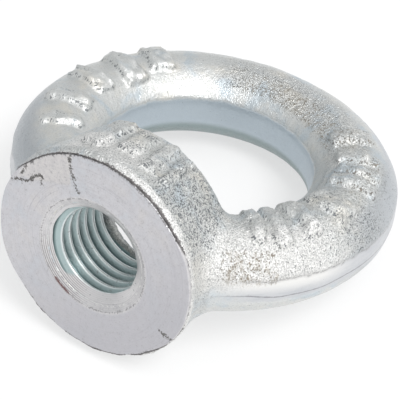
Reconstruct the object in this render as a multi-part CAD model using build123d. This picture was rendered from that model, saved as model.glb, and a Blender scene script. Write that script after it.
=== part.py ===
from build123d import *
from math import asin, atan2, cos, degrees, hypot, radians, sin, tan
import os

# Lifting eye nut, drop forged in one piece between two dies and zinc plated.
# Sizes are in millimetres and degrees. The nut is modelled with its bore along +X,
# from the turned seating face at X = 0 towards the eye, and with the dies' parting
# plane on XY. The last step lays it down on its boss and the far side of its ring.

# ring
EYE_INNER_D = 34.2
RING_WIDTH = 14.4            # from the eye out to the ring's edge
RING_OVERLAP = 0.5           # from the ring's near edge back to the seating face
RING_THICKNESS_FAR = 13.4    # across the ring, opposite the boss
RING_THICKNESS_NEAR = 14.8   # across the ring, where it runs into the boss
OUTER_LAND = 2.8             # height of the trimmed band round the outside
INNER_LAND = 5.0             # height of the trimmed band inside the eye

# boss
COLLAR_D = 35.0
FACE_D = 33.7
LIP_HEIGHT = 1.0             # from the turned face out to the full collar
BOSS_OVERLAP = 0.5           # from the boss's end back to the eye's edge, cut into it
DRAFT_ANGLE = 7.0            # taper of the forged boss, per side
SHOULDER_R = 2.0             # round at the boss's end over the eye
NECK_RATIO = 0.114           # hollow where the ring leaves the boss, to COLLAR_D
TRIM_R = 3.5                 # the same hollow, as the trimming die cuts its outline
TRIM_GAP = 0.2               # from the boss's side out to the trimming die

# thread, modelled as its core hole: the helix is left to the dressed model
THREAD_CORE_D = 13.835       # M16 x 2
COUNTERSINK_D = 19.2
COUNTERSINK_ANGLE = 120.0

# plain raised bars over the ring and along the boss, on the upper side only
BAR_PROUD = 0.7              # height above the forging
RING_BAR_WIDTH = 3.0
RING_BAR_LENGTH = 7.5
LEFT_BAR_FIRST = 55.0        # angle round the eye, from its far side
LEFT_BAR_PITCH = 17.3
LEFT_BAR_COUNT = 5
RIGHT_BAR_FIRST = -43.0
RIGHT_BAR_PITCH = -12.7
RIGHT_BAR_COUNT = 8
BOSS_BAR_WIDTH = 4.0
BOSS_BAR_LENGTH = 8.5
BOSS_BAR_FIRST = 73.0        # angle round the bore
BOSS_BAR_PITCH = 19.0
BOSS_BAR_COUNT = 3

SECTION_COUNT = 5            # sections through half of the ring
CLEAR = 100.0                # reach of a cutting body past the nut
SEATED = (Align.CENTER, Align.CENTER, Align.MIN)

EYE_OUTER_D = EYE_INNER_D + 2 * RING_WIDTH
EYE_CENTRE = EYE_OUTER_D / 2 - RING_OVERLAP
RING_MIDDLE_R = (EYE_INNER_D + RING_WIDTH) / 2
BOSS_LENGTH = RING_WIDTH - RING_OVERLAP + BOSS_OVERLAP
NECK_R = NECK_RATIO * COLLAR_D


def ring_thickness(angle):
    """Thickness of the ring, at an angle round the eye from its far side."""
    share = (1 - cos(radians(angle))) / 2
    return RING_THICKNESS_FAR + (RING_THICKNESS_NEAR - RING_THICKNESS_FAR) * share


def ring_crown(angle):
    """Arc over the ring's section, through the edges of both lands and its top."""
    outer = (EYE_OUTER_D / 2, OUTER_LAND / 2)
    top = (RING_MIDDLE_R, ring_thickness(angle) / 2)
    inner = (EYE_INNER_D / 2, INNER_LAND / 2)
    return ThreePointArc(outer, top, inner)


def section_plane(angle):
    """Plane across the ring: its X runs out from the eye's centre, its Y is up."""
    radial = (cos(radians(angle)), sin(radians(angle)), 0)
    along = (sin(radians(angle)), -cos(radians(angle)), 0)
    return Plane(origin=(EYE_CENTRE, 0, 0), x_dir=radial, z_dir=along)


def half_section(angle):
    """Upper half of the ring's section, its crown run on down to the parting plane."""
    crown = ring_crown(angle)
    centre = crown.arc_center
    dip = degrees(asin(centre.Y / crown.radius))
    arc = CenterArc((centre.X, centre.Y), crown.radius, -dip, 180 + 2 * dip)
    return section_plane(angle) * make_face([arc, Line(arc @ 1, arc @ 0)])


def half_ring():
    path = CenterArc((EYE_CENTRE, 0, 0), RING_MIDDLE_R, 0, 180)
    angles = [180 * i / (SECTION_COUNT - 1) for i in range(SECTION_COUNT)]
    sections = [half_section(angle) for angle in angles]
    arm = sweep(sections, path=path, multisection=True)
    return arm + mirror(arm, about=Plane.XZ)


def boss_radius(x):
    """Radius of the drafted boss at a distance from the seating face."""
    return COLLAR_D / 2 - (x - LIP_HEIGHT) * tan(radians(DRAFT_ANGLE))


def half_boss():
    outline = Polyline(
        (0, 0),
        (0, FACE_D / 2),
        (LIP_HEIGHT, COLLAR_D / 2),
        (BOSS_LENGTH, boss_radius(BOSS_LENGTH)),
        (BOSS_LENGTH, 0),
        close=True,
    )
    profile = make_face(outline)
    shoulder = profile.vertices().sort_by(Axis.X)[-2:].sort_by(Axis.Y)[-1]
    profile = fillet(shoulder, SHOULDER_R)
    return revolve(profile, axis=Axis.X, revolution_arc=180)


def half_forging():
    """What one die shapes: half of the ring and boss, filleted where they meet."""
    ring = half_ring()
    boss = half_boss()
    blank = ring + boss
    behind_face = Pos(-CLEAR / 2, 0, 0) * Box(CLEAR, CLEAR, CLEAR)
    blank -= behind_face
    seam = [edge for edge in blank.edges() if is_neck(edge)]
    return fillet(seam, NECK_R)


def is_neck(edge):
    """An edge where the ring's crown runs into the boss."""
    middle = edge @ 0.5
    off_parting = middle.Z > OUTER_LAND / 2
    on_boss = LIP_HEIGHT < middle.X < BOSS_LENGTH + SHOULDER_R
    return edge.geom_type == GeomType.BSPLINE and off_parting and on_boss


def ring_bar(angle):
    """A flat-sided bar bent over the ring's crown, standing proud of it all along."""
    crown = ring_crown(angle)
    centre = (crown.arc_center.X, crown.arc_center.Y)
    half_turn = degrees(RING_BAR_LENGTH / 2 / crown.radius)
    top = CenterArc(centre, crown.radius + BAR_PROUD, 90 - half_turn, 2 * half_turn)
    side = make_face([top, Line(top @ 1, centre), Line(centre, top @ 0)])
    return extrude(section_plane(angle) * side, RING_BAR_WIDTH / 2, both=True)


def boss_bar(angle):
    """A flat bar along the boss's tapered side."""
    bar = Box(BOSS_BAR_LENGTH, BOSS_BAR_WIDTH, 2 * BAR_PROUD)
    middle = (LIP_HEIGHT + BOSS_LENGTH) / 2
    on_side = Pos(middle, 0, boss_radius(middle)) * Rot(0, DRAFT_ANGLE, 0) * bar
    return Rot(angle - 90, 0, 0) * on_side


def row(first, pitch, count):
    return [first + pitch * i for i in range(count)]


def forging():
    """Both halves, with the bars on the upper one only."""
    upper = half_forging()
    body = upper + mirror(upper, about=Plane.XY)
    left = row(LEFT_BAR_FIRST, LEFT_BAR_PITCH, LEFT_BAR_COUNT)
    right = row(RIGHT_BAR_FIRST, RIGHT_BAR_PITCH, RIGHT_BAR_COUNT)
    along = row(BOSS_BAR_FIRST, BOSS_BAR_PITCH, BOSS_BAR_COUNT)
    bars = [ring_bar(angle) for angle in left + right]
    bars += [boss_bar(angle) for angle in along]
    return body + bars


def trimmed_outline():
    """Outline that the trimming die leaves, seen square to the parting plane."""
    ring = Pos(EYE_CENTRE, 0) * Circle(EYE_OUTER_D / 2)
    collar = COLLAR_D / 2 + TRIM_GAP
    end = boss_radius(BOSS_LENGTH) + TRIM_GAP
    sides = [(0, collar), (LIP_HEIGHT, collar), (BOSS_LENGTH, end)]
    mirrored = [(x, -y) for x, y in reversed(sides)]
    outline = ring + make_face(Polyline(*sides, *mirrored, close=True))
    corners = [v for v in outline.vertices() if is_hollow(v)]
    return fillet(corners, TRIM_R)


def is_hollow(corner):
    """A corner of the outline where the ring's edge crosses the boss's side."""
    from_eye = hypot(corner.X - EYE_CENTRE, corner.Y)
    on_ring = abs(from_eye - EYE_OUTER_D / 2) < TRIM_GAP / 10
    return on_ring and 0 < corner.X < BOSS_LENGTH


def trimmed(body):
    die = extrude(trimmed_outline(), CLEAR / 2, both=True)
    eye = Pos(EYE_CENTRE, 0, 0) * Cylinder(EYE_INNER_D / 2, CLEAR)
    return (body & die) - eye


def bored(body):
    """Core hole right through to the eye, countersunk at the seating face."""
    core = Rot(0, 90, 0) * Cylinder(THREAD_CORE_D / 2, EYE_CENTRE, align=SEATED)
    depth = COUNTERSINK_D / 2 / tan(radians(COUNTERSINK_ANGLE / 2))
    cone = Rot(0, 90, 0) * Cone(COUNTERSINK_D / 2, 0, depth, align=SEATED)
    return body - core - cone


def lean_on(x, z, radius):
    """Lean of the bore, in degrees, when the far side of the ring and a round of this
    radius at (x, z) under the boss touch the same floor."""
    crown = ring_crown(0)
    run = EYE_CENTRE + crown.arc_center.X - x
    rise = -crown.arc_center.Y - z
    gain = crown.radius - radius
    return degrees(atan2(rise, run) - asin(gain / hypot(run, rise)))


def resting_lean():
    """The boss meets the floor at its collar or, past the draft, at its shoulder."""
    shoulder_x = BOSS_LENGTH - SHOULDER_R
    shoulder_z = SHOULDER_R / cos(radians(DRAFT_ANGLE)) - boss_radius(shoulder_x)
    on_collar = lean_on(LIP_HEIGHT, -COLLAR_D / 2, 0)
    on_shoulder = lean_on(shoulder_x, shoulder_z, SHOULDER_R)
    return max(on_collar, on_shoulder)


def laid_down(body):
    """The nut at rest on its side, its origin under the middle of its box."""
    turned = Rot(0, resting_lean(), 0) * body
    box = turned.bounding_box()
    return Pos(-box.center().X, -box.center().Y, -box.min.Z) * turned


def main():
    nut = laid_down(bored(trimmed(forging())))
    nut.label = "eye_nut"
    os.makedirs("parts", exist_ok=True)
    export_step(nut, "parts/eye_nut.step")


main()
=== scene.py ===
from itertools import product
from math import cos, pi, radians, sin

import bpy
import numpy as np
from mathutils import Matrix, Vector


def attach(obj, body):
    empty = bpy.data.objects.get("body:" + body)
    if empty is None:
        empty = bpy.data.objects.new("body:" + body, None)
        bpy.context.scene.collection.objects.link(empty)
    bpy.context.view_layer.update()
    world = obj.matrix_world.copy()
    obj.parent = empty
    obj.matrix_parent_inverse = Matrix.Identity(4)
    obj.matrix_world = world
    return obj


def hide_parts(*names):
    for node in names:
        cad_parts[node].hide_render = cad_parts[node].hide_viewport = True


# A zinc plated lifting eye nut, dressed around its solid. Sizes are in millimetres
# in the nut's own frame: the bore along +X from the turned face at X = 0, the dies'
# parting plane on XY. place() lays it down in the frame's metres.

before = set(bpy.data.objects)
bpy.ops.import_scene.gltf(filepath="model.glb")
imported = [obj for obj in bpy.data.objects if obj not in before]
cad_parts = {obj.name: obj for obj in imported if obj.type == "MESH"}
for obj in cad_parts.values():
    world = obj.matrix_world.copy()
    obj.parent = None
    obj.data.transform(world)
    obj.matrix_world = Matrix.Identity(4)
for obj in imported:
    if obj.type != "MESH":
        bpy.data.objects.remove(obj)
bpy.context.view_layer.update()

# the camera
AZIMUTH = -56.6664
ELEVATION = 45.5477
ROLL = 1.0726
DISTANCE = 0.26951
LOOK_AT = Vector((-0.004731, -0.003152, 0.012021))
LENS = 152.686

# the studio, in metres and watts
KEY_PLACE = Vector((-0.10, -0.42, 0.66))
KEY_SIZE = 0.36
KEY_POWER = 3.1
SKY_STRENGTH = 0.95
SKY_BRIGHT_SIDE = (-0.20, -0.74, 0.64)
FLOOR_HALF = 2.0
FLOOR_GLOW = 0.6             # share of plain white where the floor is seen

# the nut at rest: how far its bore leans, and where its seating face lies
LEAN = radians(12.22766)
SHIFT_X = -28.904926
SHIFT_Z = 18.391974

# the forging
EYE_X = 31.0                 # from the seating face to the eye's middle
RING_OUT = 31.5
RING_IN = 17.1
RING_MID = (RING_IN + RING_OUT) / 2
OUTER_LAND = 1.4             # half height of the band trimmed round the outside
INNER_LAND = 2.5             # half height of the band punched through the eye
FAR_TOP = 6.7                # half thickness of the ring, opposite the boss
NEAR_TOP = 7.4               # half thickness of the ring, by the boss
COLLAR_R = 17.5
LIP_X = 1.0                  # from the seating face to the full collar
LIP_BACK = 0.06              # how far the forged lip lies behind the turned face
LIP_R = 0.25                 # round where the lip meets the boss's side
BOSS_END = 14.4
SHOULDER_R = 2.0             # round at the boss's end over the eye
DRAFT = radians(7)
TRIM_GAP = 0.2               # from the boss's side out to the trimming die
TRIM_END = 4.0               # how far past the boss that die still follows it
TRIM_EDGE_R = 0.45           # round along the edges of the trimmed band
PUNCH_EDGE_R = 0.5           # round along the edges of the punched band
NECK_R = 2.1                 # hollow where the ring leaves the boss
TRIM_R = 1.7                 # the same hollow in the trimmed outline

# the turned face
FACE_R = 16.7
FACE_WIDER = 0.65            # how much wider it is at the parting plane
FACE_BACK = 0.45             # how deep the forging lies behind it
RAGGED_R = 17.0              # radius at which its ragged edge is drawn
LOBE_DEPTH = 0.10            # how far its low, unturned patch lies back

# the thread, M16 by 2
PITCH = 2.0
CORE_R = 6.92
ROOT_R = 8.0
CREST_SHARE = 0.17           # share of the pitch that each flat crest takes
FLANK_SHARE = 0.68           # share of the pitch that the two flanks take
SLEEVE_R = 8.7               # outside of the sleeve that carries the thread
SLEEVE_SINK = 0.15           # how far the sleeve sinks into the forging
CORE_GAP = 0.05              # from the thread's core out to the plain bore past it
THREAD_START = 0.75
THREAD_END = 13.1
BORE_END = EYE_X - 10        # past here the ring's far side has no bore
SINK_R = 9.6
SINK_SLOPE = 3 ** 0.5        # radius lost per mm of depth, for a cone of 120 degrees
LEAD_IN = 0.9
AROUND = 144                 # facets round the thread
ROWS = 150                   # facets along it
GROOVES = 24.0               # turned grooves, in radians of wave a mm

VOXEL = 0.000362             # size of the forging's facets, in metres


# ---------------------------------------------------------------- small helpers

def new_object(name, data):
    made = bpy.data.objects.new(name, data)
    bpy.context.scene.collection.objects.link(made)
    return made


def place(p):
    """Points of the nut's own frame, in mm, laid down in the shared frame in metres."""
    x = p[:, 0] * cos(LEAN) + p[:, 2] * sin(LEAN) + SHIFT_X
    z = p[:, 2] * cos(LEAN) - p[:, 0] * sin(LEAN) + SHIFT_Z
    return np.column_stack((x, p[:, 1], z)) / 1000


def unplace(p):
    """The way back from the shared frame to the nut's own."""
    x = p[:, 0] * 1000 - SHIFT_X
    z = p[:, 2] * 1000 - SHIFT_Z
    across = x * sin(LEAN) + z * cos(LEAN)
    along = x * cos(LEAN) - z * sin(LEAN)
    return np.column_stack((along, p[:, 1] * 1000, across))


def read_points(mesh):
    co = np.empty(len(mesh.vertices) * 3, np.float32)
    mesh.vertices.foreach_get("co", co)
    return co.reshape(-1, 3).astype(float)


def write_points(mesh, points):
    mesh.vertices.foreach_set("co", points.astype(np.float32).ravel())
    mesh.update()


def mask(mesh, name, values):
    layer = mesh.attributes.new(name, "FLOAT", "POINT")
    layer.data.foreach_set("value", np.clip(values, 0, 1).astype(np.float32))


def carry(mesh, name, p):
    """Keeps a position in mm at each point, for the materials to draw by."""
    layer = mesh.attributes.new(name, "FLOAT_VECTOR", "POINT")
    layer.data.foreach_set("vector", p.astype(np.float32).ravel())


def smooth_shading(mesh, crease=None):
    """Smooth shading, with the edges kept sharp that bend more than crease degrees."""
    mesh.polygons.foreach_set("use_smooth", [True] * len(mesh.polygons))
    if crease:
        mesh.set_sharp_from_angle(angle=radians(crease))


def step(low, high, value):
    """0 at low and 1 at high, easing between; low may be the larger."""
    t = np.clip((value - low) / (high - low), 0, 1)
    return t * t * (3 - 2 * t)


def window(low, high, soft, value):
    """1 between low and high, fading out over a soft edge on each side."""
    return step(low - soft, low + soft, value) * step(high + soft, high - soft, value)


def noise(p, size, seed):
    """Smooth random values between -1 and 1, in patches of about this size."""
    table = np.random.default_rng(seed).uniform(-1, 1, (32, 32, 32))
    q = p / size + 0.37
    cell = np.floor(q).astype(int)
    t = q - cell
    t = t * t * (3 - 2 * t)
    total = np.zeros(len(p))
    for corner in product((0, 1), repeat=3):
        pick = (cell + corner) % 32
        share = np.prod(np.where(corner, t, 1 - t), axis=1)
        total += share * table[pick[:, 0], pick[:, 1], pick[:, 2]]
    return total


def rough(p, size, seed):
    """Three layers of noise, each half as large as the one before."""
    layers = [noise(p, size / 2 ** i, seed + i) * 0.6 ** i for i in range(3)]
    return sum(layers) / 1.6


def warped(p, size, amount, seed):
    """Points pushed about at random, to make an edge wander."""
    push = [rough(p, size, seed + 10 * axis) for axis in range(3)]
    return p + amount * np.column_stack(push)


def line_distance(points, corners):
    """Distance in a plane from points to a line drawn through its corners."""
    best = np.full(len(points), 99.0)
    for start, end in zip(corners[:-1], corners[1:]):
        start, end = np.array(start), np.array(end)
        run = end - start
        share = np.clip((points - start) @ run / (run @ run), 0, 1)
        near = start + share[:, None] * run
        best = np.minimum(best, np.linalg.norm(points - near, axis=1))
    return best


# ---------------------------------------------------------------- the forging's form

def join(a, b, r):
    """Union of two bodies with a hollow of radius r where they meet."""
    u = np.maximum(r - a, 0)
    v = np.maximum(r - b, 0)
    return np.maximum(np.minimum(a, b), r) - np.hypot(u, v)


def cut(a, b, r):
    """Overlap of two bodies with the edge between them rounded to radius r."""
    u = np.maximum(r + a, 0)
    v = np.maximum(r + b, 0)
    return np.minimum(np.maximum(a, b), -r) + np.hypot(u, v)


def round_eye(p):
    """Distance out from the eye's middle, and angle round it from the far side."""
    rho = np.hypot(p[:, 0] - EYE_X, p[:, 1])
    return rho, np.arctan2(p[:, 1], p[:, 0] - EYE_X)


def crown(theta):
    """Centre (outwards, up) and radius of the arc over the ring's section."""
    top = FAR_TOP + (NEAR_TOP - FAR_TOP) * (1 - np.cos(theta)) / 2
    bx, bz = RING_MID - RING_OUT, top - OUTER_LAND
    cx, cz = RING_IN - RING_OUT, INNER_LAND - OUTER_LAND
    start = RING_OUT ** 2 + OUTER_LAND ** 2
    kb = RING_MID ** 2 + top ** 2 - start
    kc = RING_IN ** 2 + INNER_LAND ** 2 - start
    d = 2 * (bx * cz - bz * cx)
    out = (cz * kb - bz * kc) / d
    up = (bx * kc - cx * kb) / d
    return out, up, np.hypot(RING_OUT - out, OUTER_LAND - up)


def over_ring(p):
    """Angle over the ring's section: 0 faces outwards, 90 up, 180 into the eye."""
    rho, theta = round_eye(p)
    out, up, _ = crown(theta)
    return np.degrees(np.arctan2(p[:, 2] - up, rho - out))


def ring_angles(p):
    """Degrees round the eye from its far side, and over the ring's section."""
    _, theta = round_eye(p)
    return np.degrees(theta), over_ring(p)


def off_axis(p):
    """Distance from the bore's axis."""
    return np.hypot(p[:, 1], p[:, 2])


def bore_angle(p):
    """Degrees round the bore, 90 on top."""
    return np.degrees(np.arctan2(p[:, 2], p[:, 1]))


def boss_radius(x):
    return COLLAR_R - (x - LIP_X) * np.tan(DRAFT)


def ring_body(p):
    """The ring before trimming: a lens of two arcs, turned round the eye."""
    rho, theta = round_eye(p)
    out, up, r = crown(theta)
    return np.hypot(rho - out, np.abs(p[:, 2]) - up) - r


def face_radius(y, w):
    """Edge of the turned face, wider at the parting plane and a little ragged."""
    q = np.hypot(y, w)
    around = np.column_stack((np.zeros(len(y)), y, w)) * (RAGGED_R / np.maximum(q, 1))[:, None]
    wider = step(0.70, 0.97, np.abs(y) / np.maximum(q, 1))
    return FACE_R + FACE_WIDER * wider + 0.10 * rough(around, 2.5, 51)


def boss_body(p):
    """The drafted boss, with the lip that rises to it from the turned face."""
    q = off_axis(p)
    edge = face_radius(p[:, 1], p[:, 2]) + 0.08
    side = (q - boss_radius(p[:, 0])) * cos(DRAFT)
    lip = (q - edge - p[:, 0] * (COLLAR_R + 0.1 - edge) / LIP_X) * 0.86
    body = cut(side, p[:, 0] - BOSS_END, SHOULDER_R)
    return cut(body, lip, LIP_R)


def outline(p):
    """The trimming die's outline: round the ring, and along the boss's sides."""
    rho, _ = round_eye(p)
    side = (np.abs(p[:, 1]) - boss_radius(p[:, 0]) - TRIM_GAP) * cos(DRAFT)
    side = np.maximum(side, p[:, 0] - BOSS_END - TRIM_END)
    return join(rho - RING_OUT, side, TRIM_R)


def bore_radius(x):
    """The forging's hole: wide for the thread's sleeve, its own size past its end."""
    return np.where(x < THREAD_END, SLEEVE_R - SLEEVE_SINK, CORE_R + CORE_GAP)


def forging_body(p):
    """The whole forging: ring and boss joined, trimmed, punched, faced and bored."""
    x = p[:, 0]
    q = off_axis(p)
    rho, _ = round_eye(p)
    body = join(ring_body(p), boss_body(p), NECK_R)
    body = cut(body, outline(p), TRIM_EDGE_R)
    body = cut(body, RING_IN - rho, PUNCH_EDGE_R)
    recess = np.where(q < face_radius(p[:, 1], p[:, 2]), FACE_BACK, LIP_BACK) - x
    body = cut(body, recess, 0.1)
    bore = np.where(x < BORE_END, bore_radius(x) - q, -10)
    return cut(body, bore, 0.12)


def slope(body, p, h=0.02):
    """Gradient of a body's field, by small steps along the three axes."""
    parts = []
    for axis in range(3):
        move = np.zeros(3)
        move[axis] = h
        parts.append((body(p + move) - body(p - move)) / (2 * h))
    return np.column_stack(parts)


def settle(body, p, rounds=5):
    """Brings points onto the body's surface, and returns them with its normals."""
    for _ in range(rounds):
        g = slope(body, p)
        size = np.maximum((g * g).sum(axis=1), 0.25)
        move = (body(p) / size)[:, None] * g
        p = p - np.clip(move, -0.6, 0.6)
    g = slope(body, p)
    return p, g / np.linalg.norm(g, axis=1)[:, None]


# ---------------------------------------------------------------- what stands out

# angle round the eye, half width in mm, from and to over the section, height in mm
RING_MARKS = [
    (124, 1.5, 66, 118, 0.75), (107, 1.8, 62, 120, 0.80), (89, 2.0, 62, 118, 0.95),
    (71, 2.1, 58, 124, 0.95), (55, 2.3, 60, 112, 0.90),
    (-46, 1.9, 66, 120, 0.85), (-61, 1.5, 64, 118, 0.80), (-70.5, 1.4, 62, 116, 0.75),
    (-79, 1.6, 60, 118, 0.85), (-97, 2.4, 62, 120, 0.80), (-112, 1.7, 60, 122, 0.95),
    (-123, 1.5, 56, 120, 0.95), (-131.5, 1.3, 60, 118, 0.85),
]

# angle round the bore, half width in mm, from and to along it, height in mm
BOSS_MARKS = [
    (75, 2.0, 3.6, 12.6, 0.85), (91.5, 1.7, 4.5, 11.6, 0.65), (106, 1.2, 3.6, 12.4, 0.70),
    (117, 1.2, 3.8, 12.4, 0.70),
]


def ring_marks(p):
    """Height of the plain raised bars over the ring."""
    worn = 1 + 0.38 * noise(p, 1.4, 11) + 0.20 * noise(p, 0.8, 12)
    p = warped(p, 1.9, 0.60, 13)
    rho, _ = round_eye(p)
    theta, over = ring_angles(p)
    height = np.zeros(len(p))
    for angle, half, low, high, proud in RING_MARKS:
        across = np.radians(theta - angle) * rho
        bar = step(half + 0.35, half - 0.70, np.abs(across)) * window(low, high, 4, over)
        height = np.maximum(height, bar * proud)
    return height * worn


def boss_marks(p):
    """Height of the plain raised bars along the boss's side."""
    worn = 1 + 0.38 * noise(p, 1.4, 21) + 0.20 * noise(p, 0.8, 22)
    p = warped(p, 1.9, 0.60, 23)
    height = np.zeros(len(p))
    for angle, half, low, high, proud in BOSS_MARKS:
        across = np.radians(bore_angle(p) - angle) * off_axis(p)
        bar = step(half + 0.35, half - 0.65, np.abs(across)) * window(low, high, 0.5, p[:, 0])
        height = np.maximum(height, bar * proud)
    return height * worn * (p[:, 2] > 5)


def trimmed_side(p):
    """1 where the trimming die cut, all along the outside."""
    return step(-0.30, -0.14, outline(p) + 0.10 * rough(p, 2.0, 33))


def past_boss(p):
    """0 by the boss and 1 from the eye on, as the trimmed band fades in."""
    return step(4, 10, p[:, 0])


def outer_land(p):
    """1 on the band that the trimming die cut round the ring."""
    return trimmed_side(p) * past_boss(p)


def inner_land(p):
    """1 on the band punched through the eye."""
    rho, _ = round_eye(p)
    wander = 0.06 * rough(p, 2.0, 34)
    return step(RING_IN + 0.26, RING_IN + 0.14, rho + wander)


def trimmed_share(p):
    """1 on either trimmed band."""
    return np.maximum(outer_land(p), inner_land(p))


def boss_share(p):
    """1 on the boss's side, away from the lip and the ring."""
    along = step(0.9, 1.8, p[:, 0]) * step(16.0, 13.5, p[:, 0])
    return along * step(1.2, 0.2, boss_body(p)) * (p[:, 0] < 16)


def scale_share(p):
    """1 where the forged skin is roughest: over the crown and round the boss."""
    theta, over = ring_angles(p)
    near = window(-150, -62, 8, theta) * window(8, 130, 6, over)
    ridge = window(-62, 25, 8, theta) * window(78, 128, 8, over)
    lip = step(1.6, 0.9, p[:, 0]) * step(10, 14, off_axis(p))
    share = 0.30 + near + ridge + boss_share(p) + 0.6 * lip
    return np.clip(share, 0, 1) * (1 - trimmed_share(p))


def dark_share(p):
    """1 where dark pits crowd: boss flank, blue patch, far ridge, between bars."""
    theta, over = ring_angles(p)
    turn = bore_angle(p)
    flank = boss_share(p) * window(112, 160, 9, turn) * 0.85
    top = boss_share(p) * window(58, 112, 6, turn) * 0.36
    patch = window(-103, -84, 6, theta) * window(12, 62, 8, over) * 0.75
    ridge = window(-58, 24, 6, theta) * window(92, 132, 6, over) * 0.62
    streaks = window(-144, -127, 3, theta) * window(10, 54, 5, over) * 0.60
    near = window(-125, -60, 6, theta) * window(20, 100, 8, over) * 0.35
    total = np.maximum.reduce([flank, top, patch, ridge, streaks, near])
    return total * (1 - trimmed_share(p))


def warm_share(p):
    """1 where the pits have browned."""
    theta, over = ring_angles(p)
    streaks = window(-144, -126, 3, theta) * window(10, 54, 5, over)
    ridge = window(-50, 20, 10, theta) * window(100, 135, 8, over) * 0.8
    limb = window(-90, -40, 8, theta) * window(60, 120, 8, over) * 0.6
    return np.maximum.reduce([streaks, ridge, limb])


def off_parting(p):
    """Height in mm above the line where the two dies met, which wanders a little."""
    theta, _ = ring_angles(p)
    dip = 0.7 + 0.6 * window(-130, -108, 6, theta) + 0.15 * noise(p, 6, 31)
    return p[:, 2] + dip


def parting_ridge(p):
    """Fine ridge along the parting line, on the outer band."""
    return step(-0.5, -0.2, outline(p)) * np.exp(-(off_parting(p) / 0.30) ** 2)


def band_edge(p):
    """1 along the line where the forged skin meets a trimmed band."""
    share = trimmed_side(p)
    return 4 * share * (1 - share) * (p[:, 2] > 0) * past_boss(p)


def smooth_flank(p):
    """1 on the outer flank of the ring, which stayed smooth under the scale."""
    theta, over = ring_angles(p)
    wander = 5 * rough(p, 4, 36)
    return window(-84, 52, 9, theta) * step(58, 46, over + wander)


def flank_painted_shade(p):
    """1 on the outer flank by the boss and on a patch across the eye, where shade is painted in.
    """
    theta, over = ring_angles(p)
    by_boss = window(98, 160, 12, theta) * step(75, 45, over)
    patch = window(-100, -58, 10, theta) * step(72, 52, over)
    return np.maximum(by_boss, 0.75 * patch)


def painted_light_share(p):
    """1 where a painted highlight lightens the plating: over the near limb, the boss's top, and
    the lip by the face, which is also a light burr.
    """
    theta, over = ring_angles(p)
    turn = bore_angle(p)
    near = window(-150, -106, 9, theta) * window(4, 78, 9, over)
    top = boss_share(p) * window(60, 104, 10, turn) * step(8.5, 5.5, p[:, 0])
    lip = step(2.0, 1.2, p[:, 0]) * step(3, -4, p[:, 1])
    return np.maximum.reduce([near, top, lip])


def eye_underside_shade(p):
    """1 inside the eye below the punched band, where shade is painted in, dark and greenish."""
    rho, _ = round_eye(p)
    theta, _ = ring_angles(p)
    off_boss = step(140, 105, np.abs(theta))
    return off_boss * step(RING_MID, RING_MID - 4, rho) * step(-1.5, -2.8, p[:, 2])


def skin_lines(p):
    """Position along and over the ring in mm, for marks drawn out one way."""
    _, theta = round_eye(p)
    return np.column_stack((theta * RING_MID, np.radians(over_ring(p)) * 7, p[:, 0]))


def rim_burr_and_shade(p):
    """1 in the crevice round the turned face, dark with a burr line and with painted shade;
    widest on one side.
    """
    wide = 0.22 + 0.28 * step(2, -10, p[:, 1])
    off = (off_axis(p) - face_radius(p[:, 1], p[:, 2])) / wide
    return np.exp(-off ** 2) * (p[:, 0] < 0.5)


def skin_height(p, marks, scale):
    """How far the skin stands off the plain form, in mm."""
    trimmed = trimmed_share(p)
    lip = step(2.2, 1.2, p[:, 0]) * step(15.5, 16.8, off_axis(p))
    skin = 0.09 * rough(p, 1.5, 41) + 0.05 * noise(p, 0.6, 44) + 0.20 * lip * rough(p, 1.8, 48)
    swell = 0.12 * noise(p, 7, 45) + 0.05 * rough(p, 3, 47) + 0.02 * noise(p, 0.8, 46)
    height = marks + scale * skin + swell * (1 - trimmed)
    height = height + 0.09 * parting_ridge(p) - 0.07 - 0.07 * trimmed
    flank = step(50, 38, over_ring(p)) * (p[:, 0] > 16)
    height = height - flank * np.maximum(height + 0.08, 0)
    inside = (off_axis(p) < SLEEVE_R) & (p[:, 0] < BORE_END)
    return np.where(inside, 0, height)


def made_even(blank):
    """Remakes an object's mesh with even facets, and returns it."""
    weld = blank.modifiers.new("weld", "WELD")
    weld.merge_threshold = 1e-6
    remesh = blank.modifiers.new("remesh", "REMESH")
    remesh.mode = "VOXEL"
    remesh.voxel_size = VOXEL
    graph = bpy.context.evaluated_depsgraph_get()
    even = bpy.data.meshes.new_from_object(blank.evaluated_get(graph))
    blank.modifiers.clear()
    blank.data = even
    even.materials.clear()
    return even


def add_forging():
    """The forged body, settled from the solid's own mesh onto the true form."""
    blank = new_object("forging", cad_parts["eye_nut"].data.copy())
    blank.matrix_world = Matrix.Identity(4)
    even = made_even(blank)
    p, normal = settle(forging_body, unplace(read_points(even)))
    marks = ring_marks(p) + boss_marks(p)
    scale = scale_share(p) * (1 - 0.85 * smooth_flank(p))
    height = skin_height(p, marks, scale)
    write_points(even, place(p + normal * height[:, None]))
    carry(even, "nut", p)
    carry(even, "lines", skin_lines(p))
    standing = np.clip(marks / 0.8, 0, 1)
    shares = {
        "outer": outer_land(p), "inner": inner_land(p), "scale": scale,
        # the bars' sloping sides get more dark pits, which also paint shade along their edges
        "dark": np.maximum(dark_share(p), 3.6 * standing * (1 - standing)),
        "smooth": smooth_flank(p), "painted_shade": flank_painted_shade(p), "bright": painted_light_share(p),
        "under": eye_underside_shade(p), "warm": warm_share(p), "rim": rim_burr_and_shade(p),
        "parting": 0.5 + off_parting(p) / 4, "band_edge": band_edge(p),
    }
    for name, share in shares.items():
        mask(even, name, share)
    smooth_shading(even)
    return blank


# ---------------------------------------------------------------- the turned face

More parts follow.
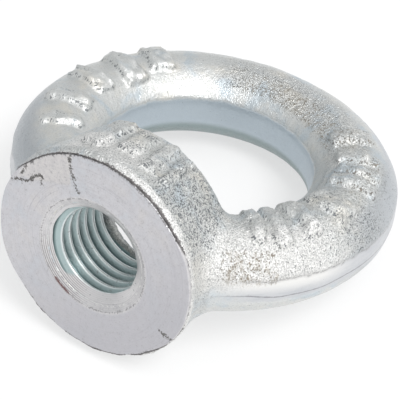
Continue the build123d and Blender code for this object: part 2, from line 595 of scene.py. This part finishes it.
def lathe(name, profile, count):
    """Closed ring turned from a closed profile of (x, radius) points."""
    turn = np.linspace(0, 2 * np.pi, count, endpoint=False)
    x = np.repeat([c[0] for c in profile], count)
    r = np.repeat([c[1] for c in profile], count)
    a = np.tile(turn, len(profile))
    p = np.column_stack((x, r * np.cos(a), r * np.sin(a)))
    faces = []
    for i in range(len(profile)):
        j = (i + 1) % len(profile)
        for k in range(count):
            n = (k + 1) % count
            faces.append((i * count + k, j * count + k, j * count + n, i * count + n))
    mesh = bpy.data.meshes.new(name)
    mesh.from_pydata(p.tolist(), [], faces)
    return new_object(name, mesh), p


# the patch of the face that the tool missed, and the dark scars round it: (y, w)
LOBE = [(14.0, 11.4), (9.4, 16.6), (5.6, 16.6), (5.0, 10.6), (10.4, 8.6), (14.6, 7.4)]
SCARS = [
    [(15.6, 6.6), (14.3, 7.1), (12.6, 7.6), (11.6, 8.9), (10.4, 9.5), (10.2, 8.3)],
    [(5.9, 15.4), (5.4, 12.9), (4.7, 11.8), (4.1, 10.6), (3.7, 9.9)],
    [(14.0, 8.4), (13.2, 10.4), (12.6, 11.2)],
    [(-15.9, -7.4), (-14.6, -7.2), (-13.3, -6.9)],
]


def lobe(flat):
    """1 over the low unturned patch, with a wandering edge."""
    at = warped(np.column_stack((np.zeros(len(flat)), flat)), 1.8, 0.5, 63)[:, 1:]
    inside = np.full(len(flat), 9.0)
    middle = np.mean(LOBE, axis=0)
    for start, end in zip(LOBE, LOBE[1:] + LOBE[:1]):
        run = np.subtract(end, start)
        out = np.array((run[1], -run[0])) / np.hypot(*run)
        out = out if (np.array(start) - middle) @ out > 0 else -out
        inside = np.minimum(inside, -(at - start) @ out)
    return step(-0.25, 0.25, inside)


def scar_distance(flat):
    """Distance in mm to the nearest scar on the face."""
    return np.minimum.reduce([line_distance(flat, line) for line in SCARS])


def face_profile():
    """Section of the turned piece: face, countersink, hidden back and rounded rim."""
    face = [(0.0, r) for r in np.linspace(FACE_R - 0.16, SINK_R + 0.12, 30)]
    cone = [((SINK_R - r) / SINK_SLOPE, r) for r in np.linspace(SINK_R - 0.06, 8.30, 7)]
    back = [(THREAD_START, 9.2), (1.3, 9.6), (1.3, 16.2), (0.75, 16.6), (0.5, FACE_R + 0.02)]
    rim = [(0.25, FACE_R), (0.12, FACE_R - 0.03), (0.03, FACE_R - 0.08)]
    return face + cone + back + rim


def add_face():
    """The turned face, with its ragged edge and the low patch that the tool missed."""
    nut, p = lathe("turned_face", face_profile(), 360)
    q = off_axis(p)
    spread = face_radius(p[:, 1], p[:, 2]) - FACE_R
    share = step(SINK_R + 1, FACE_R - 0.4, q)
    p[:, 1:] *= (1 + share * spread / q)[:, None]
    flat = p[:, 1:]
    low = lobe(flat)
    front = p[:, 0] < 0.06
    p[:, 0] += np.where(front, low * (LOBE_DEPTH + 0.03 * noise(p, 1.2, 61)), 0)
    write_points(nut.data, place(p))
    carry(nut.data, "nut", p)
    mask(nut.data, "lobe", low)
    mask(nut.data, "scar", 1 - scar_distance(flat) / 1.5)
    mask(nut.data, "rim", 1 - np.abs(face_radius(p[:, 1], p[:, 2]) - q) / 1.5)
    mask(nut.data, "front", front * step(SINK_R, SINK_R + 0.3, q))
    smooth_shading(nut.data, 30)
    return nut


# ---------------------------------------------------------------- the thread

class Wires:
    """Short ways to add and join the nodes of one tree."""

    def __init__(self, tree):
        self.tree = tree

    def add(self, kind):
        return self.tree.nodes.new(kind)

    def fill(self, socket, value):
        """Links a socket to another node's output, or sets it to a plain value."""
        if isinstance(value, bpy.types.NodeSocket):
            self.tree.links.new(value, socket)
        else:
            socket.default_value = value

    def math(self, kind, a, b=0.0, c=0.0):
        node = self.add("ShaderNodeMath")
        node.operation = kind
        for socket, value in zip(node.inputs, (a, b, c)):
            self.fill(socket, value)
        return node.outputs[0]

    def total(self, *terms):
        """Sum of (value, weight) pairs."""
        result = 0.0
        for value, weight in terms:
            result = self.math("MULTIPLY_ADD", value, weight, result)
        return result


THREAD_SIZES = [
    ("Pitch", PITCH), ("Core radius", CORE_R), ("Root radius", ROOT_R),
    ("Sleeve radius", SLEEVE_R), ("Start", THREAD_START), ("End", THREAD_END),
    ("Sink radius", SINK_R), ("Lead-in", LEAD_IN),
]


def flat_grid(wires):
    """A grid to be bent, with each point's share of a turn and its row's number."""
    grid = wires.add("GeometryNodeMeshGrid")
    grid.inputs["Size X"].default_value = 1
    grid.inputs["Size Y"].default_value = 1
    grid.inputs["Vertices X"].default_value = AROUND + 1
    grid.inputs["Vertices Y"].default_value = ROWS + 4
    split = wires.add("ShaderNodeSeparateXYZ")
    wires.fill(split.inputs[0], wires.add("GeometryNodeInputPosition").outputs[0])
    turn = wires.math("ADD", split.outputs[0], 0.5)
    row = wires.math("ADD", split.outputs[1], 0.5)
    row = wires.math("ROUND", wires.math("MULTIPLY", row, ROWS + 3))
    return grid.outputs["Mesh"], turn, row


def along_bore(wires, given, turn, row):
    """Place along the bore, with the rows sheared by a pitch a turn to suit the helix."""
    math = wires.math
    share = math("DIVIDE", math("SUBTRACT", row, 1.0), float(ROWS))
    length = math("SUBTRACT", given["End"], given["Start"])
    run = math("MULTIPLY", share, math("ADD", length, given["Pitch"]))
    free = math("ADD", run, math("SUBTRACT", given["Start"], given["Pitch"]))
    sheared = math("ADD", free, math("MULTIPLY", turn, given["Pitch"]))
    return math("MINIMUM", math("MAXIMUM", sheared, given["Start"]), given["End"])


def thread_radius(wires, given, turn, x):
    """Radius of the helical groove, or of the countersink where that is wider."""
    math = wires.math
    lead = math("SUBTRACT", x, math("MULTIPLY", turn, given["Pitch"]))
    lead = math("ADD", lead, given["Lead-in"])
    phase = math("FRACT", math("DIVIDE", lead, given["Pitch"]))
    flank = math("MULTIPLY", math("ABSOLUTE", math("SUBTRACT", phase, 0.5)), 2.0)
    share = math("DIVIDE", math("SUBTRACT", flank, CREST_SHARE), FLANK_SHARE)
    share = math("MINIMUM", math("MAXIMUM", share, 0.0), 1.0)
    depth = math("SUBTRACT", given["Root radius"], given["Core radius"])
    groove = math("ADD", given["Core radius"], math("MULTIPLY", share, depth))
    cone = math("SUBTRACT", given["Sink radius"], math("MULTIPLY", x, SINK_SLOPE))
    return math("MAXIMUM", groove, cone)


def sleeve_point(wires, given, turn, row, x, radius):
    """Point of the sleeve: its first row and last two rows make its hidden outer wall."""
    math = wires.math
    first = math("LESS_THAN", row, 0.5)
    last = math("GREATER_THAN", row, ROWS + 1.5)
    far = math("MULTIPLY", last, math("LESS_THAN", row, ROWS + 2.5))
    wall = math("MAXIMUM", first, last)
    seen = math("SUBTRACT", 1.0, wall)
    hidden = math("MULTIPLY", given["Sleeve radius"], wall)
    radius = math("ADD", math("MULTIPLY", radius, seen), hidden)
    start = math("MULTIPLY", given["Start"], math("SUBTRACT", wall, far))
    end = math("MULTIPLY", given["End"], far)
    x = math("ADD", math("MULTIPLY", x, seen), math("ADD", start, end))
    angle = math("MULTIPLY", turn, 2 * pi)
    point = wires.add("ShaderNodeCombineXYZ")
    wires.fill(point.inputs[0], x)
    wires.fill(point.inputs[1], math("MULTIPLY", radius, math("COSINE", angle)))
    wires.fill(point.inputs[2], math("MULTIPLY", radius, math("SINE", angle)))
    return point.outputs[0]


def thread_tree(material):
    """A helical thread wrapped into a sleeve: a grid bent round the bore."""
    tree = bpy.data.node_groups.new("thread", "GeometryNodeTree")
    for name, value in THREAD_SIZES:
        socket = tree.interface.new_socket(name, in_out="INPUT", socket_type="NodeSocketFloat")
        socket.default_value = value
    tree.interface.new_socket("Geometry", in_out="OUTPUT", socket_type="NodeSocketGeometry")
    wires = Wires(tree)
    given = wires.add("NodeGroupInput").outputs
    grid, turn, row = flat_grid(wires)
    x = along_bore(wires, given, turn, row)
    radius = thread_radius(wires, given, turn, x)
    move = wires.add("GeometryNodeSetPosition")
    wires.fill(move.inputs["Geometry"], grid)
    wires.fill(move.inputs["Position"], sleeve_point(wires, given, turn, row, x, radius))
    weld = wires.add("GeometryNodeMergeByDistance")
    weld.inputs["Distance"].default_value = 0.002
    wires.fill(weld.inputs["Geometry"], move.outputs[0])
    real = wires.add("GeometryNodeRealizeInstances")
    wires.fill(real.inputs[0], weld.outputs[0])
    dress = wires.add("GeometryNodeSetMaterial")
    dress.inputs["Material"].default_value = material
    wires.fill(dress.inputs["Geometry"], real.outputs[0])
    wires.fill(wires.add("NodeGroupOutput").inputs[0], dress.outputs[0])
    return tree


def add_thread(material):
    """The thread, made by its tree and laid down with the nut."""
    holder = new_object("thread_holder", bpy.data.meshes.new("thread_seed"))
    modifier = holder.modifiers.new("thread", "NODES")
    modifier.node_group = thread_tree(material)
    by_name = {item.name: item.identifier for item in modifier.node_group.interface.items_tree}
    for name, value in THREAD_SIZES:
        modifier[by_name[name]] = value
    graph = bpy.context.evaluated_depsgraph_get()
    mesh = bpy.data.meshes.new_from_object(holder.evaluated_get(graph))
    holder.modifiers.clear()
    bpy.data.objects.remove(holder)
    p = read_points(mesh)
    carry(mesh, "nut", p)
    write_points(mesh, place(p))
    smooth_shading(mesh, 60)
    return new_object("thread", mesh)


# ---------------------------------------------------------------- materials

class Painter(Wires):
    """Short ways to lay down the nodes of one material."""

    def __init__(self, name):
        self.mat = bpy.data.materials.new(name)
        self.mat.use_nodes = True
        super().__init__(self.mat.node_tree)
        self.bsdf = self.tree.nodes["Principled BSDF"]

    def attribute(self, name, output="Fac"):
        node = self.add("ShaderNodeAttribute")
        node.attribute_name = name
        return node.outputs[output]

    def noise(self, at, scale, detail=2.0, roughness=0.5, distortion=0.0):
        node = self.add("ShaderNodeTexNoise")
        self.fill(node.inputs["Vector"], at)
        node.inputs["Scale"].default_value = scale
        node.inputs["Detail"].default_value = detail
        node.inputs["Roughness"].default_value = roughness
        node.inputs["Distortion"].default_value = distortion
        return node.outputs["Fac"]

    def stretch(self, at, scale):
        node = self.add("ShaderNodeVectorMath")
        node.operation = "MULTIPLY"
        self.fill(node.inputs[0], at)
        node.inputs[1].default_value = scale
        return node.outputs[0]

    def ease(self, value, low, high):
        """0 at low, 1 at high, smooth between."""
        node = self.add("ShaderNodeMapRange")
        node.interpolation_type = "SMOOTHSTEP"
        self.fill(node.inputs["Value"], value)
        node.inputs["From Min"].default_value = low
        node.inputs["From Max"].default_value = high
        return node.outputs["Result"]

    def blend(self, share, a, b):
        """Colour a where share is 0, colour b where it is 1."""
        node = self.add("ShaderNodeMix")
        node.data_type = "RGBA"
        self.fill(node.inputs["Factor"], share)
        self.fill(node.inputs[6], a)
        self.fill(node.inputs[7], b)
        return node.outputs[2]

    def bump(self, height, distance):
        node = self.add("ShaderNodeBump")
        self.fill(node.inputs["Height"], height)
        node.inputs["Distance"].default_value = distance
        self.fill(self.bsdf.inputs["Normal"], node.outputs["Normal"])

    def polar(self, at):
        """The three parts of a place in the nut, its radius and its angle round the bore."""
        split = self.add("ShaderNodeSeparateXYZ")
        self.fill(split.inputs[0], at)
        along, side, up = split.outputs
        square = self.math("MULTIPLY", side, side)
        radius = self.math("SQRT", self.math("MULTIPLY_ADD", up, up, square))
        return along, side, up, radius, self.math("ARCTAN2", up, side)


def rgb(red, green, blue):
    return (red, green, blue, 1)


def drifting_tint(paint, at, base, blue, cream):
    """Plating whose colour drifts between neutral, bluish and cream."""
    drift = paint.noise(at, 0.16, 2.0, 0.5, 0.6)
    patch = paint.noise(at, 0.55, 3.0, 0.6)
    shift = paint.total((drift, 0.7), (patch, 0.3))
    colour = paint.blend(paint.ease(shift, 0.50, 0.36), base, blue)
    return paint.blend(paint.ease(shift, 0.52, 0.66), colour, cream)


def forged_tint(paint, at, lines):
    """Plating of the forging before its pits: skin, smooth flanks and trimmed bands, with painted
    shade and painted highlight laid over them.
    """
    colour = drifting_tint(paint, at, rgb(0.69, 0.70, 0.69), rgb(0.60, 0.655, 0.69),
                           rgb(0.75, 0.735, 0.69))
    colour = paint.blend(paint.attribute("smooth"), colour, rgb(0.54, 0.56, 0.585))
    # painted shade on the outer flank by the boss and on a patch across the eye
    colour = paint.blend(paint.attribute("painted_shade"), colour, rgb(0.50, 0.525, 0.55))
    colour = paint.blend(paint.attribute("inner"), colour, rgb(0.50, 0.565, 0.615))
    # painted shade inside the eye, below the punched band
    colour = paint.blend(paint.attribute("under"), colour, rgb(0.31, 0.37, 0.375))
    band = paint.noise(paint.stretch(lines, (0.25, 1.6, 0.25)), 1.0, 3.0, 0.6)
    band_tone = paint.blend(paint.ease(band, 0.4, 0.65), rgb(0.61, 0.62, 0.64),
                            rgb(0.56, 0.575, 0.60))
    colour = paint.blend(paint.attribute("outer"), colour, band_tone)
    # painted highlight over the near limb, the boss's top and the lip by the face
    return paint.blend(paint.attribute("bright"), colour, rgb(0.84, 0.835, 0.82))


def pit_share(paint, grain, clump, drawn):
    """1 in the skin's dark pits, which the trimmed bands hardly have."""
    pits = paint.total((grain, 2.2), (clump, 1.3), (drawn, 0.3), (paint.attribute("dark"), 0.56))
    bands = paint.math("MAXIMUM", paint.attribute("outer"), paint.attribute("inner"))
    skin = paint.math("SUBTRACT", 1.0, bands)
    depth = paint.math("MULTIPLY_ADD", skin, 0.85, 0.08)
    return paint.math("MULTIPLY", paint.ease(pits, 2.34, 2.64), depth)


def forged_lines(paint, colour, grain, clump):
    """Dark lines round the turned face (a burr line and painted shade), along the parting line
    and by the trimmed band.
    """
    # the dark line round the turned face: a burr line, with painted shade in the crevice
    rim = paint.total((paint.attribute("rim"), 1.0), (grain, 0.9), (clump, 0.7))
    colour = paint.blend(paint.ease(rim, 1.08, 1.36), colour, rgb(0.20, 0.19, 0.19))
    seam = paint.math("ABSOLUTE", paint.math("ADD", paint.attribute("parting"), -0.5))
    seam = paint.total((seam, -4.0), (grain, 0.12), (clump, 0.16))
    seam = paint.math("MULTIPLY", paint.ease(seam, -0.02, 0.10), paint.attribute("outer"))
    colour = paint.blend(seam, colour, rgb(0.33, 0.33, 0.35))
    edge = paint.total((paint.attribute("band_edge"), 1.0), (grain, 0.4), (clump, 0.5))
    return paint.blend(paint.ease(edge, 0.95, 1.75), colour, rgb(0.34, 0.33, 0.33))


def forged_zinc():
    """Plating over the forged skin: stippled, pitted, browned in places, smooth in others."""
    paint = Painter("zinc_forged")
    at = paint.attribute("nut", "Vector")
    lines = paint.attribute("lines", "Vector")
    scale = paint.attribute("scale")
    warm = paint.attribute("warm")
    grain = paint.noise(at, 4.2, 2.0, 0.6)
    clump = paint.noise(at, 1.5, 3.0, 0.6)
    drawn = paint.noise(paint.stretch(lines, (1.9, 0.5, 0.3)), 1.0, 3.0, 0.6)

    colour = forged_tint(paint, at, lines)
    freckle = paint.math("MULTIPLY", paint.ease(grain, 0.42, 0.66), scale)
    colour = paint.blend(paint.math("MULTIPLY", freckle, 0.60), colour, rgb(0.33, 0.335, 0.335))
    pitted = pit_share(paint, grain, clump, drawn)
    pit_tone = paint.blend(warm, rgb(0.22, 0.235, 0.245), rgb(0.29, 0.255, 0.21))
    colour = paint.blend(pitted, colour, pit_tone)
    stain = paint.total((drawn, 0.8), (clump, 0.5), (grain, 0.5), (warm, 0.33))
    stain = paint.math("MULTIPLY", paint.ease(stain, 1.12, 1.42), 0.6)
    colour = paint.blend(stain, colour, rgb(0.42, 0.38, 0.32))
    colour = forged_lines(paint, colour, grain, clump)
    paint.fill(paint.bsdf.inputs["Base Color"], colour)

    paint.bsdf.inputs["Metallic"].default_value = 0.78
    finish = paint.total((grain, 0.40), (clump, 0.30), (pitted, 0.25))
    paint.fill(paint.bsdf.inputs["Roughness"], paint.math("ADD", finish, 0.05))
    relief = paint.total((grain, 1.0), (clump, 1.2), (drawn, 0.4), (pitted, -0.4))
    level = paint.math("MULTIPLY_ADD", scale, 0.80, 0.12)
    paint.bump(paint.math("MULTIPLY", relief, level), 0.00026)
    return paint.mat


def turned_wave(paint, radius):
    """Fine wave outwards, as the tool's feed leaves it."""
    return paint.math("SINE", paint.math("MULTIPLY", radius, GROOVES))


def groove_share(paint, wave, spin, depth):
    """1 in the countersink's grooves, which are deepest on one side of it."""
    deep_side = paint.math("MULTIPLY", paint.ease(spin, 0.1, -0.4), paint.ease(spin, -1.6, -1.2))
    strength = paint.math("MULTIPLY_ADD", deep_side, depth, 0.12)
    return paint.math("MULTIPLY", paint.ease(wave, 0.1, 0.8), strength)


def turned_tint(paint, at, side, up, arcs):
    """Plating of the turned face, with painted shade towards its bottom and one side, and lighter
    on the unturned patch.
    """
    colour = drifting_tint(paint, at, rgb(0.635, 0.63, 0.655), rgb(0.60, 0.615, 0.65),
                           rgb(0.66, 0.645, 0.65))
    colour = paint.blend(paint.ease(arcs, 0.52, 0.72), colour, rgb(0.52, 0.51, 0.54))
    # painted shade: the face darkens towards its bottom and one side
    fall = paint.total((up, 0.7), (side, 0.5))
    painted_shade = paint.math("MULTIPLY", paint.ease(fall, 6.0, -12.0), 0.8)
    colour = paint.blend(painted_shade, colour, rgb(0.505, 0.50, 0.53))
    return paint.blend(paint.attribute("lobe"), colour, rgb(0.69, 0.67, 0.665))


def sink_marks(paint, colour, wave, radius, spin, grain, clump):
    """The countersink: bright, grooved, with dirt and a red-brown smear at its rim."""
    cone = paint.math("SUBTRACT", 1.0, paint.attribute("front"))
    colour = paint.blend(cone, colour, rgb(0.68, 0.67, 0.675))
    groove = paint.math("MULTIPLY", groove_share(paint, wave, spin, 0.80), cone)
    colour = paint.blend(groove, colour, rgb(0.25, 0.23, 0.23))
    off_rim = paint.math("ABSOLUTE", paint.math("SUBTRACT", radius, SINK_R - 0.12))
    at_rim = paint.ease(off_rim, 0.45, 0.0)
    dirt = paint.total((at_rim, 0.55), (grain, 1.3), (clump, 0.8))
    colour = paint.blend(paint.ease(dirt, 1.52, 1.75), colour, rgb(0.32, 0.31, 0.31))
    smear = paint.math("MULTIPLY", paint.ease(spin, -0.70, -0.92), paint.ease(spin, -1.38, -1.14))
    smear = paint.math("MULTIPLY", smear, at_rim)
    smear = paint.total((smear, 0.8), (grain, 0.7), (clump, 0.5))
    return paint.blend(paint.ease(smear, 1.02, 1.25), colour, rgb(0.17, 0.085, 0.08))


def face_scars(paint, colour, grain, clump):
    """Mottle, specks, scars with a grey halo, and the face's dark rim, a burr line with painted
    shade.
    """
    mottle = paint.ease(paint.total((grain, 0.6), (clump, 0.8)), 0.5, 0.9)
    colour = paint.blend(paint.math("MULTIPLY", mottle, 0.35), colour, rgb(0.46, 0.455, 0.48))
    specks = paint.ease(paint.total((grain, 1.0), (clump, 0.6)), 0.90, 1.10)
    colour = paint.blend(paint.math("MULTIPLY", specks, 0.45), colour, rgb(0.32, 0.31, 0.32))
    halo = paint.total((paint.attribute("scar"), 0.75), (grain, 1.3), (clump, 0.7))
    halo = paint.math("MULTIPLY", paint.ease(halo, 1.58, 1.78), 0.6)
    colour = paint.blend(halo, colour, rgb(0.30, 0.29, 0.29))
    scar = paint.total((paint.attribute("scar"), 1.0), (grain, 0.9), (clump, 0.7))
    colour = paint.blend(paint.ease(scar, 1.60, 1.75), colour, rgb(0.16, 0.155, 0.15))
    # the face's dark rim: a burr line, with painted shade in the crevice beside it
    rim = paint.total((paint.attribute("rim"), 1.0), (grain, 0.6), (clump, 0.3))
    return paint.blend(paint.ease(rim, 1.30, 1.46), colour, rgb(0.24, 0.235, 0.24))


def turned_zinc():
    """Plating over the turned face and countersink: fine arcs, scars and dirt."""
    paint = Painter("zinc_turned")
    at = paint.attribute("nut", "Vector")
    _, side, up, radius, spin = paint.polar(at)
    flat = paint.add("ShaderNodeCombineXYZ")
    paint.fill(flat.inputs[0], radius)
    paint.fill(flat.inputs[1], spin)
    arcs = paint.noise(paint.stretch(flat.outputs[0], (5.0, 0.9, 1.0)), 1.0, 3.0, 0.7)
    wave = turned_wave(paint, radius)
    grain = paint.noise(at, 3.6, 2.0, 0.6)
    clump = paint.noise(at, 1.1, 3.0, 0.6)

    colour = turned_tint(paint, at, side, up, arcs)
    colour = sink_marks(paint, colour, wave, radius, spin, grain, clump)
    colour = face_scars(paint, colour, grain, clump)
    paint.fill(paint.bsdf.inputs["Base Color"], colour)

    paint.bsdf.inputs["Metallic"].default_value = 0.80
    finish = paint.total((grain, 0.15), (arcs, 0.20), (paint.attribute("lobe"), 0.12))
    paint.fill(paint.bsdf.inputs["Roughness"], paint.math("ADD", finish, 0.28))
    paint.bump(paint.total((arcs, 0.5), (wave, 0.05), (grain, 0.25), (clump, 0.3)), 0.00005)
    return paint.mat


def thread_zinc():
    """Plating in the thread: painted highlight on the crests, painted shade in the roots, and the
    countersink's cone.
    """
    paint = Painter("zinc_thread")
    at = paint.attribute("nut", "Vector")
    along, _, _, radius, spin = paint.polar(at)
    grain = paint.noise(at, 2.2, 2.0, 0.6)
    # painted highlight along the thread's crests
    crest_highlight = paint.ease(radius, 7.25, 6.95)
    colour = paint.blend(crest_highlight, rgb(0.42, 0.52, 0.525), rgb(0.78, 0.82, 0.82))
    # painted shade in the thread's roots
    root = paint.ease(radius, 7.65, 7.95)
    colour = paint.blend(root, colour, rgb(0.17, 0.235, 0.24))
    sink = paint.math("MULTIPLY_ADD", along, SINK_SLOPE, radius)
    on_cone = paint.math("MULTIPLY", paint.ease(sink, SINK_R + 0.10, SINK_R + 0.02),
                         paint.ease(radius, 6.98, 7.04))
    groove = groove_share(paint, turned_wave(paint, radius), spin, 0.65)
    cone_tone = paint.blend(groove, rgb(0.68, 0.67, 0.675), rgb(0.34, 0.31, 0.31))
    colour = paint.blend(on_cone, colour, cone_tone)
    colour = paint.blend(paint.ease(grain, 0.62, 0.76), colour, rgb(0.30, 0.33, 0.33))
    paint.fill(paint.bsdf.inputs["Base Color"], colour)
    paint.bsdf.inputs["Metallic"].default_value = 0.80
    paint.bsdf.inputs["Roughness"].default_value = 0.36
    paint.bump(grain, 0.00004)
    return paint.mat


# ---------------------------------------------------------------- studio

def add_camera():
    az = radians(AZIMUTH)
    el = radians(ELEVATION)
    back = Vector((sin(az) * cos(el), -cos(az) * cos(el), sin(el)))
    data = bpy.data.cameras.new("camera")
    data.lens = LENS
    data.sensor_width = 36
    data.clip_start = 0.01
    data.clip_end = 20
    made = new_object("camera", data)
    turn = back.to_track_quat("Z", "Y").to_matrix() @ Matrix.Rotation(radians(ROLL), 3, "Z")
    made.matrix_world = Matrix.Translation(LOOK_AT + back * DISTANCE) @ turn.to_4x4()
    bpy.context.scene.camera = made


def add_key_light():
    """One large soft disc in front and above, aimed at the nut."""
    data = bpy.data.lights.new("key", "AREA")
    data.shape = "DISK"
    data.size = KEY_SIZE
    data.energy = KEY_POWER
    made = new_object("key", data)
    made.location = KEY_PLACE
    made.rotation_euler = KEY_PLACE.to_track_quat("Z", "Y").to_euler()


def add_world():
    """Soft light from all round, stronger in front and above than behind."""
    world = bpy.data.worlds.new("studio")
    bpy.context.scene.world = world
    world.use_nodes = True
    wires = Wires(world.node_tree)
    sky = wires.tree.nodes["Background"]
    sky.inputs["Strength"].default_value = SKY_STRENGTH
    along = wires.add("ShaderNodeVectorMath")
    along.operation = "DOT_PRODUCT"
    along.inputs[1].default_value = SKY_BRIGHT_SIDE
    wires.fill(along.inputs[0], wires.add("ShaderNodeTexCoord").outputs["Generated"])
    ramp = wires.add("ShaderNodeValToRGB")
    behind, front = ramp.color_ramp.elements
    behind.position = 0.10
    behind.color = (0.46, 0.485, 0.50, 1)
    front.position = 0.90
    front.color = (1, 1, 1, 1)
    wires.fill(ramp.inputs[0], wires.math("MULTIPLY_ADD", along.outputs["Value"], 0.5, 0.5))
    wires.fill(sky.inputs["Color"], ramp.outputs[0])


def pale_floor():
    """Matt off-white that takes shadows, mixed with plain white where it is seen."""
    mat = bpy.data.materials.new("floor")
    mat.use_nodes = True
    wires = Wires(mat.node_tree)
    bsdf = wires.tree.nodes["Principled BSDF"]
    bsdf.inputs["Base Color"].default_value = (0.93, 0.93, 0.93, 1)
    bsdf.inputs["Roughness"].default_value = 0.9
    ray = wires.add("ShaderNodeLightPath").outputs
    seen = wires.math("MAXIMUM", ray["Is Camera Ray"], ray["Is Glossy Ray"])
    seen = wires.math("MAXIMUM", seen, ray["Is Transmission Ray"])
    mix = wires.add("ShaderNodeMixShader")
    wires.fill(mix.inputs[0], wires.math("MULTIPLY", seen, FLOOR_GLOW))
    wires.fill(mix.inputs[1], bsdf.outputs[0])
    wires.fill(mix.inputs[2], wires.add("ShaderNodeEmission").outputs[0])
    wires.fill(wires.tree.nodes["Material Output"].inputs["Surface"], mix.outputs[0])
    return mat


def add_floor():
    r = FLOOR_HALF
    mesh = bpy.data.meshes.new("floor")
    mesh.from_pydata([(-r, -r, 0), (r, -r, 0), (r, r, 0), (-r, r, 0)], [], [(0, 1, 2, 3)])
    mesh.materials.append(pale_floor())
    floor = new_object("floor", mesh)


def add_nut():
    """The three dressed pieces that together stand for the solid."""
    skin = forged_zinc()
    turned = turned_zinc()
    threaded = thread_zinc()
    forging = add_forging()
    forging.data.materials.append(skin)
    face = add_face()
    face.data.materials.append(turned)
    thread = add_thread(threaded)
    for piece in (forging, face, thread):
        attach(piece, "root")
        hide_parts("eye_nut")


bpy.context.scene.view_settings.view_transform = "Standard"
add_camera()
add_world()
add_floor()
add_key_light()
add_nut()
